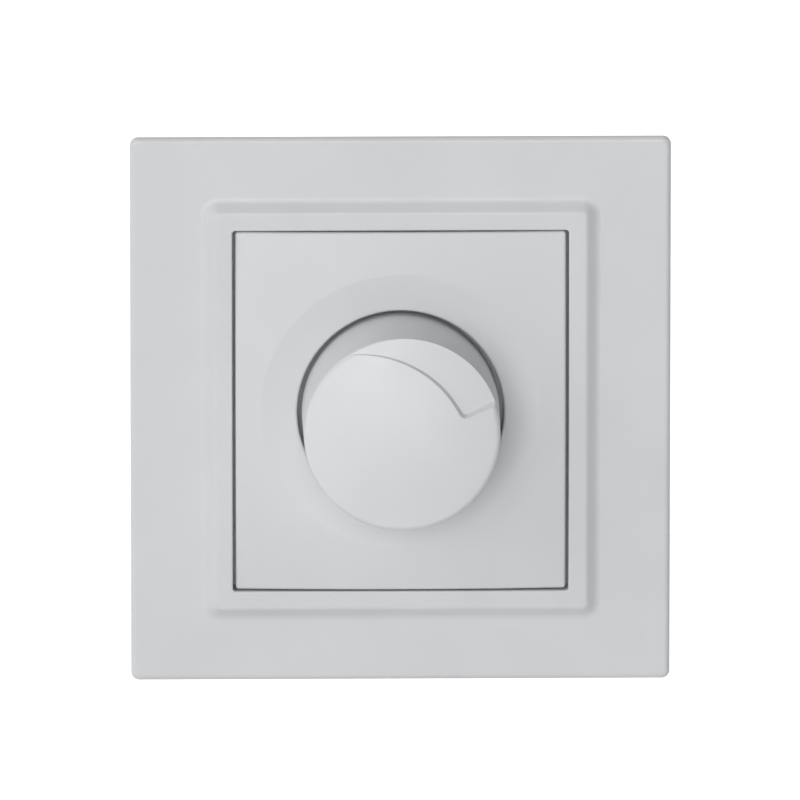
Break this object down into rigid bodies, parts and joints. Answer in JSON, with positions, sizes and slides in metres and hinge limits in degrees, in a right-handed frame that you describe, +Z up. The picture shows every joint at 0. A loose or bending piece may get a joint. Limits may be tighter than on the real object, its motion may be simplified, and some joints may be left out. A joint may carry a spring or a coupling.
{
  "type": "dimmer switch",
  "caption": "Flush wall dimmer: moulded frame, domed plate and a round knob that turns to dim and pushes to switch, on a steel plate with spreading claws.",
  "frame": {"origin": "on the wall's plane, where the knob's axis and the middle of the two box screws meet", "axes": "+Y into the wall along the knob's axis, +Z up, +X to the right seen from the room"},
  "size_m": [0.082, 0.0525, 0.0844],
  "materials": {
    "frame_plastic": "fine satin moulding",
    "plate_plastic": "fine satin moulding",
    "knob_plastic": "fine satin moulding",
    "spring_steel": "bright drawn",
    "spindle_steel": "turned",
    "nickel": "nickel plated",
    "case_steel": "zinc plated",
    "black_plastic": "matt moulding",
    "contact_brass": "stamped",
    "phenolic": "pressed laminate",
    "tinned": "tinned",
    "board_laminate": "green solder mask",
    "switch_plastic": "matt moulding",
    "plunger_plastic": "satin moulding",
    "galvanised_steel": "galvanised",
    "housing_plastic": "matt moulding",
    "screw_steel": "zinc plated",
    "terminal_brass": "machined",
    "ferrite": "fired",
    "copper_wire": "enamelled",
    "sink_aluminium": "rolled",
    "film_plastic": "moulded case",
    "dipped_plastic": "dipped coating",
    "resistor_lacquer": "lacquered",
    "diac_lacquer": "lacquered",
    "fuse_glass": "clear",
    "claw_steel": "galvanised"
  },
  "bodies": {
    "base": {"outer_frame": "frame_plastic", "cover_plate": "plate_plastic", "return_spring": "spring_steel", "pot_bushing": "nickel", "plate_nut": "nickel", "fuse_caps": "nickel", "pot_case": "case_steel", "triac_package": "black_plastic", "fixed_contacts": "contact_brass", "fuse_clips": "contact_brass", "pot_wafer": "phenolic", "pot_pins": "tinned", "triac_leads": "tinned", "circuit_board": "board_laminate", "switch_case": "switch_plastic", "support_plate": "galvanised_steel", "front_cover": "housing_plastic", "rear_housing": "housing_plastic", "cover_screws": "screw_steel", "terminal_screws": "screw_steel", "triac_screw": "screw_steel", "terminal_blocks": "terminal_brass", "choke_core": "ferrite", "choke_winding": "copper_wire", "heat_sink": "sink_aluminium", "film_capacitor": "film_plastic", "timing_capacitor": "dipped_plastic", "resistors": "resistor_lacquer", "diac": "diac_lacquer", "fuse_tube": "fuse_glass"},
    "rotor": {"pot_rotor": "black_plastic", "pot_wiper": "contact_brass"},
    "knob_spindle": {"knob": "knob_plastic", "knob_spring_ring": "spring_steel", "spindle": "spindle_steel"},
    "plunger": {"switch_plunger": "plunger_plastic", "contact_bridge": "contact_brass"},
    "claw_left": {"claw_left": "claw_steel"},
    "claw_screw_left": {"claw_screw_left": "screw_steel"},
    "claw_nut_left": {"claw_nut_left": "claw_steel"},
    "claw_right": {"claw_right": "claw_steel"},
    "claw_screw_right": {"claw_screw_right": "screw_steel"},
    "claw_nut_right": {"claw_nut_right": "claw_steel"}
  },
  "joints": [
    {"name": "knob_turn", "type": "hinge", "parent": "base", "child": "rotor", "pos_m": [0, 0, 0], "axis": [0, 1, 0], "range_deg": [-140, 140]},
    {"name": "knob_push", "type": "slide", "parent": "rotor", "child": "knob_spindle", "axis": [0, 1, 0], "range_m": [0, 0.002], "stiffness_N_per_m": 2000, "springref_m": -0.001},
    {"name": "plunger_push", "type": "slide", "parent": "base", "child": "plunger", "axis": [0, 1, 0], "range_m": [0, 0.00205], "deforming": ["return_spring"]},
    {"name": "claw_nut_left_slide", "type": "slide", "parent": "base", "child": "claw_nut_left", "axis": [0, -1, 0], "range_m": [0, 0.008]},
    {"name": "claw_screw_left_turn", "type": "hinge", "parent": "base", "child": "claw_screw_left", "pos_m": [-0.024, 0, 0], "axis": [0, 1, 0], "range_deg": [0, 5765]},
    {"name": "claw_left_swing", "type": "hinge", "parent": "base", "child": "claw_left", "pos_m": [-0.02985, -0.00095, 0], "axis": [0, 0, 1], "range_deg": [0, 9.05]},
    {"name": "claw_nut_right_slide", "type": "slide", "parent": "base", "child": "claw_nut_right", "axis": [0, -1, 0], "range_m": [0, 0.008]},
    {"name": "claw_screw_right_turn", "type": "hinge", "parent": "base", "child": "claw_screw_right", "pos_m": [0.024, 0, 0], "axis": [0, 1, 0], "range_deg": [0, 5765]},
    {"name": "claw_right_swing", "type": "hinge", "parent": "base", "child": "claw_right", "pos_m": [0.02985, -0.00095, 0], "axis": [0, 0, -1], "range_deg": [0, 9.05]}
  ],
  "couplings": [
    {"joint": "plunger_push", "follows": "knob_push", "ratio": 1},
    {"joint": "claw_screw_left_turn", "follows": "claw_nut_left_slide", "rad_per_m": 12566},
    {"joint": "claw_left_swing", "follows": "claw_nut_left_slide", "rad_per_m": 19.635},
    {"joint": "claw_screw_right_turn", "follows": "claw_nut_right_slide", "rad_per_m": 12566},
    {"joint": "claw_right_swing", "follows": "claw_nut_right_slide", "rad_per_m": 19.635}
  ]
}
